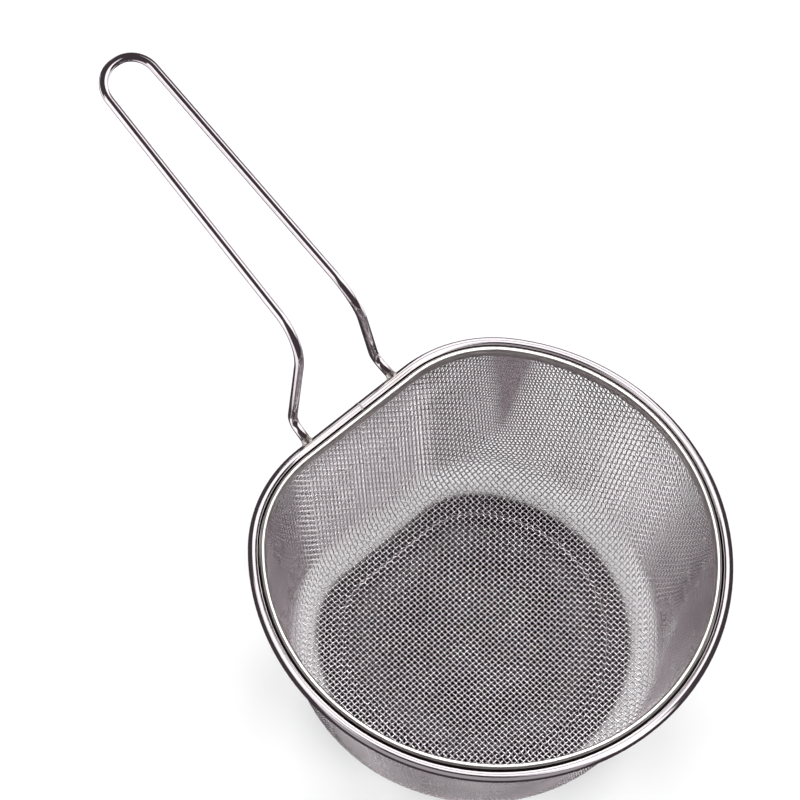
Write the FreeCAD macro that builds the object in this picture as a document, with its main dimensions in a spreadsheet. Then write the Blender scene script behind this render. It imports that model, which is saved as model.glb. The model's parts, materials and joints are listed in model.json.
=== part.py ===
import FreeCAD, Part
import math
import os
import re
import Sketcher

# Basket strainer of stainless wire: a D-shaped cup of woven wire cloth with a folded band on its
# edge, a round wire hoop outside the band, and a looped wire handle welded to the hoop's flat side.
# +Z is up, the handle points to -X, and the origin is the middle of the base circle at the level
# that the basket stands on. Millimetres.

SIZES = {
    "rim_radius": 73.25,        # hoop centreline, round part
    "rim_flat": 63.5,           # hoop centreline, distance of the flat side from the axis
    "rim_corner": 43.3,         # hoop centreline, corner between round part and flat side
    "rim_level": 65.0,          # hoop centreline above the base
    "hoop_wire": 3.5,           # diameter of the hoop wire
    "handle_wire": 3.0,         # diameter of the handle wire
    "band_width": 2.0,
    "band_depth": 3.4,
    "band_sheet": 0.4,
    "band_rise": 0.2,           # band top above the top of the hoop
    "weld_gap": 0.1,            # between hoop and band
    "cloth": 0.9,               # two crossing wires of the cloth
    "cloth_clearance": 0.1,     # cloth edge to the inside of the folded band
    "hem_overlap": 0.5,         # straight part of the cloth that shows below the band
    "bottom_scale": 0.713,      # edge of the flat bottom, as a share of the rim section
    "wall_lean": 11.25,         # degrees from upright
    "base_corner": 9.5,         # outside radius between bottom and wall
    "disc_scale": 0.585,        # raised disc, as a share of the rim section
    "disc_rise": 1.2,
    "disc_side": 0.41,          # thinning of the disc's slanted edge, as a share of the cloth
    "joint_offset": 2.6,        # hoop joint, off the middle of the flat side
    "joint_gap": 0.8,
    "joint_bead": 3.66,         # diameter of the bead in the hoop joint
    "stub_spread": 17.7,        # handle wire, half the distance between its welded ends
    "heel_out": 73.2,           # heel: the first bend, outside the hoop
    "heel_rise": 2.3,
    "heel_spread": 17.3,
    "heel_bend": 4.5,
    "shoulder_out": 78.0,       # shoulder: where the steep leg turns into the long one
    "shoulder_rise": 40.3,
    "shoulder_spread": 11.2,
    "shoulder_bend": 17.0,
    "tip_out": 178.7,           # far end of the loop
    "tip_rise": 64.5,
    "tip_spread": 8.8,
    "tip_bend": 8.6,
    "fillet_weld": 2.35,        # radius of the weld fillets on the wire ends
    "tack_length": 5.0,
    "tack_radius": 0.75,
    "tack_drop": 0.62,          # tacks below the hoop's centreline, as a share of its radius
}
CORNER_STEPS = 5                # sections that the round bottom corner is lofted through
TACK_ANGLES = range(-120, 121, 40)

doc = FreeCAD.newDocument("strainer")
sheet = doc.addObject("Spreadsheet::Sheet", "sizes")
for row, (alias, value) in enumerate(SIZES.items(), start=1):
    sheet.set("A%d" % row, alias)
    sheet.set("B%d" % row, str(value))
    sheet.setAlias("B%d" % row, alias)
doc.recompute()


def size(expression):
    """Value of an expression on the sheet's aliases."""
    return float(sheet.evalExpression(expression))


def linked(expression):
    """The same expression, as another object of the document writes it."""
    return re.sub(r"\b(%s)\b" % "|".join(SIZES), r"sizes.\1", expression)


# How far each curve lies inside the hoop's centreline.
BAND_INSET = "(hoop_wire / 2 + weld_gap + band_width / 2)"
CLOTH_INSET = "(%s - cloth / 2)" % BAND_INSET
BAND_TOP = "(rim_level + hoop_wire / 2 + band_rise)"
WALL_TOP = "(%s - band_depth - hem_overlap)" % BAND_TOP
HEM_TOP = "(%s - band_sheet - cloth_clearance)" % BAND_TOP


def new_body(name):
    body = doc.addObject("PartDesign::Body", name)
    body.Label = name
    return body


def origin_plane(body, role):
    return next(item for item in body.Origin.OriginFeatures if item.Role == role)


def new_sketch(body, name, role="XY_Plane", level=None):
    """A sketch on one of the body's own origin planes, raised to a level."""
    sketch = body.newObject("Sketcher::SketchObject", name)
    sketch.AttachmentSupport = [(origin_plane(body, role), "")]
    sketch.MapMode = "FlatFace"
    if level is not None:
        sketch.setExpression(".AttachmentOffset.Base.z", linked(level))
    return sketch


def constrain(sketch, name, kind, *args):
    """A dimension whose value comes from the sheet. The last argument is its expression."""
    *places, expression = args
    index = sketch.addConstraint(Sketcher.Constraint(kind, *places, size(expression)))
    sketch.renameConstraint(index, name)
    sketch.setExpression("Constraints." + name, linked(expression))


def d_outline(sketch, inset, scale, shrink):
    """Closed D: a round part, a flat side towards -X and a corner arc between them on each side.

    It is the hoop's centreline moved in by the inset, scaled about the axis, and moved in again.
    """
    radius = "((rim_radius - %s) * %s - %s)" % (inset, scale, shrink)
    flat = "((rim_flat - %s) * %s - %s)" % (inset, scale, shrink)
    corner = "((rim_corner - %s) * %s - %s)" % (inset, scale, shrink)
    big, side, small = size(radius), size(flat), size(corner)
    centre_x = small - side
    centre_y = math.sqrt((big - small) ** 2 - centre_x ** 2)
    turn = math.atan2(centre_y, centre_x)
    axis = FreeCAD.Vector(0, 0, 1)
    vec = FreeCAD.Vector
    main = sketch.addGeometry(Part.ArcOfCircle(Part.Circle(vec(0, 0, 0), axis, big), -turn, turn))
    upper = sketch.addGeometry(
        Part.ArcOfCircle(Part.Circle(vec(centre_x, centre_y, 0), axis, small), turn, math.pi))
    straight = sketch.addGeometry(
        Part.LineSegment(vec(-side, centre_y, 0), vec(-side, -centre_y, 0)))
    lower = sketch.addGeometry(
        Part.ArcOfCircle(Part.Circle(vec(centre_x, -centre_y, 0), axis, small), math.pi,
                         2 * math.pi - turn))
    sketch.addConstraint(Sketcher.Constraint("Coincident", main, 3, -1, 1))
    sketch.addConstraint(Sketcher.Constraint("Tangent", main, 2, upper, 1))
    sketch.addConstraint(Sketcher.Constraint("Tangent", upper, 2, straight, 1))
    sketch.addConstraint(Sketcher.Constraint("Tangent", straight, 2, lower, 1))
    sketch.addConstraint(Sketcher.Constraint("Tangent", lower, 2, main, 1))
    sketch.addConstraint(Sketcher.Constraint("Vertical", straight))
    constrain(sketch, "round_part", "Radius", main, radius)
    constrain(sketch, "upper_corner", "Radius", upper, corner)
    constrain(sketch, "lower_corner", "Radius", lower, corner)
    constrain(sketch, "flat_side", "DistanceX", straight, 1, -1, 1, flat)


def d_sketch(body, name, level, inset, scale="1", shrink="0"):
    sketch = new_sketch(body, name, level=level)
    d_outline(sketch, inset, scale, shrink)
    return sketch


def d_loft(body, kind, name, sections, ruled=True):
    """Solid or cavity through D outlines, each given as level, inset, scale and shrink."""
    sketches = [d_sketch(body, "%s_%d" % (name, number), *section)
                for number, section in enumerate(sections)]
    doc.recompute()
    loft = body.newObject("PartDesign::" + kind, name)
    loft.Profile = sketches[0]
    loft.Sections = sketches[1:]
    loft.Ruled = ruled
    doc.recompute()
    return loft


def cut_away(base, tools, name):
    """Base less each tool in turn. The last cut carries the name."""
    for number, tool in enumerate(tools, start=1):
        last = number == len(tools)
        cut = doc.addObject("Part::Cut", name if last else "%s_cut_%d" % (name, number))
        cut.Base = base
        cut.Tool = tool
        base = cut
    base.Label = name
    doc.recompute()
    return base


def cup_section(angle, depth):
    """Outline where the bottom corner has turned by an angle, at a depth inside the outer face."""
    level = "base_corner - (base_corner - %s) * %.5f" % (depth, math.cos(angle))
    scale = "(bottom_scale + base_corner * %.5f / (rim_radius - %s))" % (
        math.sin(angle), CLOTH_INSET)
    return (level, CLOTH_INSET, scale, "%s * %.5f" % (depth, math.sin(angle)))


def cup_solid(name, depth, top, disc_shrink):
    """Solid cup: flat bottom with a raised disc, round corner, tapered wall and straight hem."""
    body = new_body(name)
    turn = math.radians(90 - size("wall_lean"))
    corner = [cup_section(turn * step / CORNER_STEPS, depth) for step in range(CORNER_STEPS + 1)]
    d_loft(body, "AdditiveLoft", name + "_corner", corner, ruled=False)
    rim = (WALL_TOP, CLOTH_INSET, "1", depth)
    d_loft(body, "AdditiveLoft", name + "_wall", [corner[-1], rim])
    hem = body.newObject("PartDesign::Pad", name + "_hem")
    hem.Profile = d_sketch(body, name + "_hem_outline", *rim)
    hem.setExpression("Length", linked("%s - %s" % (top, WALL_TOP)))
    doc.recompute()
    d_loft(body, "SubtractiveLoft", name + "_disc", [
        (depth, "0", "disc_scale", disc_shrink),
        ("%s + disc_rise" % depth, "0", "disc_scale", "(%s + disc_rise)" % disc_shrink),
    ])
    return body


def make_mesh_basket():
    """The drawn cup of wire cloth, as a shell as thick as the cloth."""
    outside = cup_solid("cup_outside", "0", HEM_TOP, "0")
    inside = cup_solid("cup_inside", "cloth", "(%s + 1)" % HEM_TOP, "(-disc_side * cloth)")
    return cut_away(outside, [inside], "mesh_basket")


def make_rim_hoop():
    """Round wire bent to a D, with a gap at the joint that the bead fills."""
    body = new_body("rim_hoop")
    path = d_sketch(body, "hoop_path", "rim_level", "0")
    section = new_sketch(body, "hoop_section", "XZ_Plane")
    circle = section.addGeometry(
        Part.Circle(FreeCAD.Vector(-size("rim_flat"), size("rim_level"), 0),
                    FreeCAD.Vector(0, 0, 1), size("hoop_wire / 2")))
    constrain(section, "wire", "Radius", circle, "hoop_wire / 2")
    constrain(section, "out", "DistanceX", circle, 3, -1, 1, "rim_flat")
    constrain(section, "up", "DistanceY", -1, 1, circle, 3, "rim_level")
    doc.recompute()
    bent = body.newObject("PartDesign::AdditivePipe", "bent_wire")
    bent.Profile = section
    bent.Spine = path
    doc.recompute()
    slot = new_sketch(body, "joint_slot", "XZ_Plane")
    half = size("hoop_wire")
    corners = [(-1, -1), (1, -1), (1, 1), (-1, 1)]
    points = [FreeCAD.Vector(-size("rim_flat") + half * x, size("rim_level") + half * y, 0)
              for x, y in corners]
    for start, end in zip(points, points[1:] + points[:1]):
        slot.addGeometry(Part.LineSegment(start, end))
    for line in range(len(points)):
        slot.addConstraint(Sketcher.Constraint("Coincident", line, 2, (line + 1) % len(points), 1))
    for line, kind in enumerate(("Horizontal", "Vertical", "Horizontal", "Vertical")):
        slot.addConstraint(Sketcher.Constraint(kind, line))
    constrain(slot, "slot_width", "DistanceX", 0, 1, 0, 2, "2 * hoop_wire")
    constrain(slot, "slot_height", "DistanceY", 1, 1, 1, 2, "2 * hoop_wire")
    constrain(slot, "slot_out", "DistanceX", 0, 1, -1, 1, "rim_flat + hoop_wire")
    constrain(slot, "slot_up", "DistanceY", -1, 1, 0, 1, "rim_level - hoop_wire")
    slot.setExpression(".AttachmentOffset.Base.z", linked("-joint_offset"))
    doc.recompute()
    gap = body.newObject("PartDesign::Pocket", "joint_gap_cut")
    gap.Profile = slot
    gap.Midplane = True
    gap.setExpression("Length", linked("joint_gap"))
    doc.recompute()
    return body


def make_rim_band():
    """Folded strip: two legs and a round top, open below, swept along the rim."""
    body = new_body("rim_band")
    path = d_sketch(body, "band_path", "rim_level", BAND_INSET)
    section = new_sketch(body, "band_section", "XZ_Plane")
    vec = FreeCAD.Vector
    axis = vec(0, 0, 1)
    middle = -size("rim_flat - %s" % BAND_INSET)
    outer = size("band_width / 2")
    inner = size("band_width / 2 - band_sheet")
    spring = size(BAND_TOP + " - band_width / 2")
    foot = size(BAND_TOP + " - band_depth")
    crown = section.addGeometry(
        Part.ArcOfCircle(Part.Circle(vec(middle, spring, 0), axis, outer), 0, math.pi))
    left = section.addGeometry(
        Part.LineSegment(vec(middle - outer, spring, 0), vec(middle - outer, foot, 0)))
    left_foot = section.addGeometry(
        Part.LineSegment(vec(middle - outer, foot, 0), vec(middle - inner, foot, 0)))
    left_inside = section.addGeometry(
        Part.LineSegment(vec(middle - inner, foot, 0), vec(middle - inner, spring, 0)))
    fold = section.addGeometry(
        Part.ArcOfCircle(Part.Circle(vec(middle, spring, 0), axis, inner), 0, math.pi))
    right_inside = section.addGeometry(
        Part.LineSegment(vec(middle + inner, spring, 0), vec(middle + inner, foot, 0)))
    right_foot = section.addGeometry(
        Part.LineSegment(vec(middle + inner, foot, 0), vec(middle + outer, foot, 0)))
    right = section.addGeometry(
        Part.LineSegment(vec(middle + outer, foot, 0), vec(middle + outer, spring, 0)))
    section.addConstraint([
        Sketcher.Constraint("Tangent", crown, 2, left, 1),
        Sketcher.Constraint("Coincident", left, 2, left_foot, 1),
        Sketcher.Constraint("Coincident", left_foot, 2, left_inside, 1),
        Sketcher.Constraint("Tangent", left_inside, 2, fold, 2),
        Sketcher.Constraint("Tangent", fold, 1, right_inside, 1),
        Sketcher.Constraint("Coincident", right_inside, 2, right_foot, 1),
        Sketcher.Constraint("Coincident", right_foot, 2, right, 1),
        Sketcher.Constraint("Tangent", right, 2, crown, 1),
        Sketcher.Constraint("Coincident", crown, 3, fold, 3),
        Sketcher.Constraint("Vertical", left),
        Sketcher.Constraint("Vertical", left_inside),
        Sketcher.Constraint("Horizontal", left_foot),
        Sketcher.Constraint("Horizontal", right_foot),
        Sketcher.Constraint("Vertical", right_inside),
        Sketcher.Constraint("Vertical", right),
    ])
    constrain(section, "outside", "Radius", crown, "band_width / 2")
    constrain(section, "inside", "Radius", fold, "band_width / 2 - band_sheet")
    constrain(section, "out", "DistanceX", crown, 3, -1, 1, "rim_flat - %s" % BAND_INSET)
    constrain(section, "up", "DistanceY", -1, 1, crown, 3, BAND_TOP + " - band_width / 2")
    constrain(section, "foot", "DistanceY", -1, 1, left, 2, BAND_TOP + " - band_depth")
    constrain(section, "other_foot", "DistanceY", -1, 1, right, 1, BAND_TOP + " - band_depth")
    doc.recompute()
    folded = body.newObject("PartDesign::AdditivePipe", "folded_strip")
    folded.Profile = section
    folded.Spine = path
    doc.recompute()
    return body


def rounded_path(points, bends):
    """Straight runs through the points, with a tangent arc of the given radius at each inner one."""
    edges = []
    here = points[0]
    for before, corner, after, bend in zip(points, points[1:], points[2:], bends):
        back = (before - corner).normalize()
        ahead = (after - corner).normalize()
        half_turn = (math.pi - back.getAngle(ahead)) / 2
        reach = bend * math.tan(half_turn)
        arc_start = corner + back * reach
        arc_end = corner + ahead * reach
        to_middle = (back + ahead).normalize()
        arc_middle = corner + to_middle * (bend / math.cos(half_turn) - bend)
        edges.append(Part.LineSegment(here, arc_start).toShape())
        edges.append(Part.Arc(arc_start, arc_middle, arc_end).toShape())
        here = arc_end
    edges.append(Part.LineSegment(here, points[-1]).toShape())
    return Part.Wire(edges)


def handle_points():
    """Corners of the handle wire from the left weld round the loop to the right weld."""
    level = size("rim_level")
    contact = size("rim_flat + hoop_wire / 2")
    half = [
        (contact, size("stub_spread"), 0),
        (size("heel_out"), size("heel_spread"), size("heel_rise")),
        (size("shoulder_out"), size("shoulder_spread"), size("shoulder_rise")),
        (size("tip_out"), size("tip_spread"), size("tip_rise")),
    ]
    left = [FreeCAD.Vector(-out, -spread, level + rise) for out, spread, rise in half]
    right = [FreeCAD.Vector(-out, spread, level + rise) for out, spread, rise in reversed(half)]
    return left + right


def make_handle_wire():
    """One bent wire. Its route leaves every plane, so it is swept along a path made in code."""
    bends = [size("heel_bend"), size("shoulder_bend"), size("tip_bend")]
    path = rounded_path(handle_points(), bends + bends[::-1])
    start = path.Edges[0]
    section = Part.Wire([Part.Circle(start.valueAt(start.FirstParameter),
                                     start.tangentAt(start.FirstParameter),
                                     size("handle_wire / 2")).toShape()])
    wire = doc.addObject("Part::Feature", "handle_wire")
    wire.Shape = path.makePipeShell([section], True, True)
    wire.Label = "handle_wire"
    wire.Placement = FreeCAD.Placement()
    expected = math.pi * size("handle_wire / 2") ** 2 * path.Length
    print("handle wire: %.1f mm long, volume %.1f, expected %.1f"
          % (path.Length, wire.Shape.Volume, expected))
    return wire


def make_handle_weld(side, sign, hoop, handle, band):
    """Ball of weld metal round a wire end, less the wire, the hoop and the band."""
    ball = doc.addObject("Part::Sphere", "weld_ball_" + side)
    ball.setExpression("Radius", linked("fillet_weld"))
    ball.setExpression(".Placement.Base.x", linked("-(rim_flat + hoop_wire / 2)"))
    ball.setExpression(".Placement.Base.y", linked("%d * stub_spread" % sign))
    ball.setExpression(".Placement.Base.z", linked("rim_level"))
    doc.recompute()
    return cut_away(ball, [hoop, handle, band], "handle_weld_" + side)


def make_hoop_butt_weld():
    """Bead that fills the hoop's joint and stands a little proud of the wire."""
    body = new_body("hoop_butt_weld")
    section = new_sketch(body, "bead_section", "XZ_Plane")
    circle = section.addGeometry(
        Part.Circle(FreeCAD.Vector(-size("rim_flat"), size("rim_level"), 0),
                    FreeCAD.Vector(0, 0, 1), size("joint_bead / 2")))
    constrain(section, "bead", "Radius", circle, "joint_bead / 2")
    constrain(section, "out", "DistanceX", circle, 3, -1, 1, "rim_flat")
    constrain(section, "up", "DistanceY", -1, 1, circle, 3, "rim_level")
    section.setExpression(".AttachmentOffset.Base.z", linked("-joint_offset"))
    doc.recompute()
    bead = body.newObject("PartDesign::Pad", "bead_pad")
    bead.Profile = section
    bead.Midplane = True
    bead.setExpression("Length", linked("joint_gap"))
    doc.recompute()
    return body


def make_tack_welds(hoop, band):
    """Short tacks in the groove below hoop and band, spaced round the rim."""
    radius = size("rim_radius - hoop_wire / 2")
    drop = size("rim_level - tack_drop * hoop_wire / 2")
    tacks = []
    for angle in TACK_ANGLES:
        place = FreeCAD.Placement(FreeCAD.Vector(0, 0, 0),
                                  FreeCAD.Rotation(FreeCAD.Vector(0, 0, 1), angle))
        tack = doc.addObject("Part::Cylinder", "tack")
        tack.setExpression("Radius", linked("tack_radius"))
        tack.setExpression("Height", linked("tack_length"))
        across = FreeCAD.Placement(FreeCAD.Vector(radius, -size("tack_length / 2"), drop),
                                   FreeCAD.Rotation(FreeCAD.Vector(1, 0, 0), -90))
        tack.Placement = place.multiply(across)
        tacks.append(tack)
    row = doc.addObject("Part::Compound", "tack_row")
    row.Links = tacks
    doc.recompute()
    return cut_away(row, [hoop, band], "band_tack_welds")


hoop = make_rim_hoop()
band = make_rim_band()
handle = make_handle_wire()
pieces = [
    make_mesh_basket(),
    band,
    hoop,
    make_hoop_butt_weld(),
    handle,
    make_handle_weld("left", -1, hoop, handle, band),
    make_handle_weld("right", 1, hoop, handle, band),
    make_tack_welds(hoop, band),
]
doc.recompute()

for item in doc.Objects:
    if "Invalid" in item.State or "Error" in item.State:
        raise RuntimeError("%s is in state %s" % (item.Name, item.State))

os.makedirs("parts", exist_ok=True)
for piece in pieces:
    shape = piece.Shape
    if shape.isNull() or not shape.isValid():
        raise RuntimeError("%s has no valid shape" % piece.Label)
    print("%-18s %9.1f mm3, %d solid(s), box %s" % (
        piece.Label, shape.Volume, len(shape.Solids), shape.BoundBox))
    shape.exportStep(os.path.join("parts", piece.Label + ".step"))
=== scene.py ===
import json
import math

import bmesh
import bpy
import numpy as np
from bpy.props import FloatProperty, FloatVectorProperty, IntProperty, PointerProperty
from mathutils import Matrix, Vector, noise

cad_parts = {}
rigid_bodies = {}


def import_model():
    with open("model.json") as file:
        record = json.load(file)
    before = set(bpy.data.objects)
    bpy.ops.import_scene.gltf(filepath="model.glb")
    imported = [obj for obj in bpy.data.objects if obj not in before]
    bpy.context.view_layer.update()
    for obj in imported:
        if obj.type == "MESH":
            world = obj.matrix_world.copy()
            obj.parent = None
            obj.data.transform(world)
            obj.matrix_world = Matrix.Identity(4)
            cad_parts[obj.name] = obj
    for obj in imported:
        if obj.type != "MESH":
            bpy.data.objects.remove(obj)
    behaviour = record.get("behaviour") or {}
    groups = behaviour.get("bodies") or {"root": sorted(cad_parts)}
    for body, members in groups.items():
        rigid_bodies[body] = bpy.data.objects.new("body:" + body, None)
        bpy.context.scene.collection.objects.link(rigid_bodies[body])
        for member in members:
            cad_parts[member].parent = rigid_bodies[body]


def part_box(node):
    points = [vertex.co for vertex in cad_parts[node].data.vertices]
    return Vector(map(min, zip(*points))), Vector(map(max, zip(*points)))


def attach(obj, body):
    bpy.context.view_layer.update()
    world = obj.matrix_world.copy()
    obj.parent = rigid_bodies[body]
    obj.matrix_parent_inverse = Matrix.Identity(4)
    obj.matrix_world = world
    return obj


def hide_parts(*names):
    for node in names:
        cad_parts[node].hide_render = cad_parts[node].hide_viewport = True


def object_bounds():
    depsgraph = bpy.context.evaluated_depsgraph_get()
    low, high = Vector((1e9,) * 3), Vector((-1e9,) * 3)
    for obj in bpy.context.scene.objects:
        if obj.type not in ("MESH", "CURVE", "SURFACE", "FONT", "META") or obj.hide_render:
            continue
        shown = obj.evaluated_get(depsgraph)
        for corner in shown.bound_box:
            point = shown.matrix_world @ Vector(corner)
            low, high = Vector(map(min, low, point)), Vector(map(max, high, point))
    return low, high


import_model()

bl_info = {
    "name": "Wire Basket Strainer",
    "version": (1, 0, 0),
    "blender": (4, 5, 0),
    "location": "3D View > Sidebar > Strainer",
    "description": "Weaves, folds, bends and welds the pieces of a wire basket strainer",
    "category": "Object",
}

# Metres, in the frame of the CAD parts: +Z up, the handle towards -X, the base at the origin.
CAD_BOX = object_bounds()
HOOP_LOW, HOOP_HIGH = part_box("rim_hoop")
BAND_LOW, BAND_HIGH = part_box("rim_band")
CUP_LOW, CUP_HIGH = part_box("mesh_basket")
JOINT_LOW, JOINT_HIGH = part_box("hoop_butt_weld")

MM = 0.001
HOOP_WIRE = HOOP_HIGH.z - HOOP_LOW.z
RIM_LEVEL = (HOOP_HIGH.z + HOOP_LOW.z) / 2
RIM_RADIUS = HOOP_HIGH.x - HOOP_WIRE / 2
RIM_FLAT = -HOOP_LOW.x - HOOP_WIRE / 2
FULL_TURN = 2 * math.pi
TACK_LENGTH = 5.0 * MM
TACK_RADIUS = 0.75 * MM
TACK_DROP = 0.62                # below the hoop's centreline, as a share of its radius
TACK_ANGLES = range(-120, 121, 40)
SEAM = 1e-6                     # points that are nearer than this are merged


def hex_colour(code):
    """Linear colour of an sRGB hex value."""
    shares = [int(code[place:place + 2], 16) / 255 for place in (0, 2, 4)]
    return tuple(s / 12.92 if s <= 0.04045 else ((s + 0.055) / 1.055) ** 2.4 for s in shares)


def length(name, description, default):
    return FloatProperty(name=name, description=description, default=default, min=0.0,
                         unit="LENGTH", subtype="DISTANCE", precision=5)


def angle(name, description, degrees):
    return FloatProperty(name=name, description=description, default=math.radians(degrees),
                         unit="ROTATION", subtype="ANGLE")


def share(name, description, default):
    return FloatProperty(name=name, description=description, default=default, min=0.0, max=1.0,
                         subtype="FACTOR")


def colour(name, description, code):
    return FloatVectorProperty(name=name, description=description, default=hex_colour(code),
                               size=3, min=0.0, max=1.0, subtype="COLOR")


class ClothSettings(bpy.types.PropertyGroup):
    pitch: length("Pitch", "Distance from wire to wire in the flat cloth", 1.465 * MM)
    wire: length("Wire", "Diameter of one wire of the cloth", 0.45 * MM)
    edge_inset: length("Edge inset", "Middle of the cloth inside the hoop's centreline",
                       2.85 * MM)
    thickness: length("Thickness", "Two crossing wires", 0.9 * MM)
    bottom_share: share("Bottom", "Edge of the flat bottom, as a share of the rim", 0.713)
    base_corner: length("Base corner", "Outside radius between bottom and wall", 9.5 * MM)
    lean: angle("Lean", "Lean of the wall from upright", 11.25)
    disc_share: share("Disc", "Edge of the raised disc, as a share of the rim", 0.585)
    disc_rise: length("Disc rise", "Height of the raised disc above the bottom", 1.2 * MM)
    hem: length("Hem", "Height at which the wall turns upright", 63.05 * MM)
    press_radius: length("Press radius", "Softness of the creases that the press leaves", 0.2 * MM)
    unevenness: length("Unevenness", "Slow waves left in the drawn cloth", 0.16 * MM)


class RimSettings(bpy.types.PropertyGroup):
    corner: length("Corner", "Hoop centreline, corner between round part and flat side", 43.3 * MM)
    sheet: length("Strip", "Thickness of the folded strip", 0.4 * MM)
    arc_step: angle("Arc step", "Turn between sections of a bent wire or strip", 2.5)
    wire_sides: IntProperty(name="Wire sides", description="Sides of the round wires",
                            default=28, min=8)


class HandleSettings(bpy.types.PropertyGroup):
    wire: length("Wire", "Diameter of the handle wire", 3.0 * MM)
    stub_spread: length("Stub spread", "Half the distance between the welded ends", 17.7 * MM)
    heel_out: length("Heel out", "First bend, from the axis", 73.2 * MM)
    heel_rise: length("Heel rise", "First bend, above the hoop", 2.3 * MM)
    heel_spread: length("Heel spread", "First bend, from the middle", 17.3 * MM)
    heel_bend: length("Heel bend", "Radius of the first bend", 4.5 * MM)
    shoulder_out: length("Shoulder out", "Second bend, from the axis", 78.0 * MM)
    shoulder_rise: length("Shoulder rise", "Second bend, above the hoop", 40.3 * MM)
    shoulder_spread: length("Shoulder spread", "Second bend, from the middle", 11.2 * MM)
    shoulder_bend: length("Shoulder bend", "Radius of the second bend", 17.0 * MM)
    tip_out: length("Tip out", "Far end of the loop, from the axis", 178.7 * MM)
    tip_rise: length("Tip rise", "Far end of the loop, above the hoop", 64.5 * MM)
    tip_spread: length("Tip spread", "Far end of the loop, from the middle", 8.8 * MM)
    tip_bend: length("Tip bend", "Radius of the bends at the far end", 8.6 * MM)


class FinishSettings(bpy.types.PropertyGroup):
    polished: colour("Polished wire", "Electropolished stainless wire", "DCD5D9")
    drawn: colour("Drawn wire", "Bright drawn stainless wire of the cloth", "EEE8EB")
    # painted highlight: the paler colour of the cloth's wires along the disc's crease and round
    # the base
    rubbed: colour("Rubbed wire", "Wire of the cloth, rubbed by the press", "FFFAFC")
    strip: colour("Strip", "Cold rolled stainless strip", "EDEAE6")
    weld: colour("Weld", "Weld metal, brushed clean", "D4CFC8")
    straw: colour("Straw tint", "Outer heat tint beside a weld", "DDD7D6")
    bronze: colour("Bronze tint", "Inner heat tint beside a weld", "D6CFCB")
    # painted shade: the dark colour that the groove between hoop and band is painted with
    groove_shade: colour("Residue", "Polishing residue in the groove of the rim", "544B4F")
    floor: colour("Floor", "Matt white board", "F8F8F8")
    room: colour("Room", "Dim room that the metal reflects", "484044")


class StageSettings(bpy.types.PropertyGroup):
    azimuth: angle("Azimuth", "Turn of the camera round the object", 39.97)
    elevation: angle("Elevation", "Height of the camera above the horizon", 63.43)
    roll: angle("Roll", "Turn of the camera about its own axis", 8.69)
    distance: length("Distance", "From the camera to the point that it aims at", 1.2894)
    lens: FloatProperty(name="Lens", description="Focal length", default=180.0, unit="CAMERA")
    key_light: FloatProperty(name="Key light", description="Radiance of the cloth's and the "
                             "band's far panels", default=5.5, min=0.0)
    side_light: FloatProperty(name="Side light", description="Radiance of the cloth's side "
                              "panels", default=1.7, min=0.0)
    top_light: FloatProperty(name="Top light", description="Radiance of the cloth's and the "
                             "band's panels overhead", default=3.5, min=0.0)
    wire_light: FloatProperty(name="Wire light", description="Radiance of the hoop's and the "
                              "handle's white panels", default=1.5, min=0.0)
    floor_light: FloatProperty(name="Floor light", description="Power of each low panel that "
                               "lights the floor", default=42.0, min=0.0)


# ---------------------------------------------------------------- materials

def add_node(tree, kind, settings=None, links=None):
    """Adds a node, sets its attributes or socket values, and links other sockets into it."""
    node = tree.nodes.new(kind)
    for key, value in (settings or {}).items():
        if isinstance(key, str) and hasattr(node, key):
            setattr(node, key, value)
        else:
            node.inputs[key].default_value = value
    for key, source in (links or {}).items():
        tree.links.new(source, node.inputs[key])
    return node


def new_material(name):
    """An empty material with its tree, a Principled shader and Object coordinates."""
    material = bpy.data.materials.new(name)
    material.use_nodes = True
    tree = material.node_tree
    tree.nodes.clear()
    shader = add_node(tree, "ShaderNodeBsdfPrincipled")
    add_node(tree, "ShaderNodeOutputMaterial", links={"Surface": shader.outputs["BSDF"]})
    place = add_node(tree, "ShaderNodeTexCoord").outputs["Object"]
    return material, tree, shader, place


def paint_ramp(tree, source, stops):
    """A colour ramp through (position, linear colour) stops."""
    ramp = add_node(tree, "ShaderNodeValToRGB", links={"Fac": source})
    elements = ramp.color_ramp.elements
    while len(elements) < len(stops):
        elements.new(0.5)
    for element, (position, tone) in zip(elements, stops):
        element.position = position
        element.color = (*tone, 1.0)
    return ramp.outputs["Color"]


def grain(tree, place, spacing, detail=2.0):
    """Noise whose blotches are a real spacing apart, in metres."""
    return add_node(tree, "ShaderNodeTexNoise", {"Scale": 1 / spacing, "Detail": detail},
                    {"Vector": place}).outputs["Fac"]


def darkened_groove(tree, colours, tone):
    """Tone that turns to painted shade where the groove attribute rises."""
    groove = add_node(tree, "ShaderNodeAttribute", {"attribute_name": "groove"}).outputs["Fac"]
    depth = add_node(tree, "ShaderNodeMapRange",
                     {"From Min": 0.25, "From Max": 0.6, "interpolation_type": "SMOOTHSTEP"},
                     {"Value": groove}).outputs["Result"]
    return add_node(tree, "ShaderNodeMix", {"data_type": "RGBA", 7: (*colours.groove_shade, 1.0)},
                    {0: depth, 6: tone}).outputs[2]


def spread_from(tree, source, low, high):
    """A value that drifts from low to high with a grain, whose own values stay near the middle."""
    return add_node(tree, "ShaderNodeMapRange",
                    {"From Min": 0.3, "From Max": 0.7, "To Min": low, "To Max": high},
                    {"Value": source}).outputs["Result"]


def bump_from(tree, shader, source, depth):
    """Bumps of a real depth, in metres."""
    bump = add_node(tree, "ShaderNodeBump", {"Strength": 1.0, "Distance": depth},
                    {"Height": source})
    tree.links.new(bump.outputs["Normal"], shader.inputs["Normal"])


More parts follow.
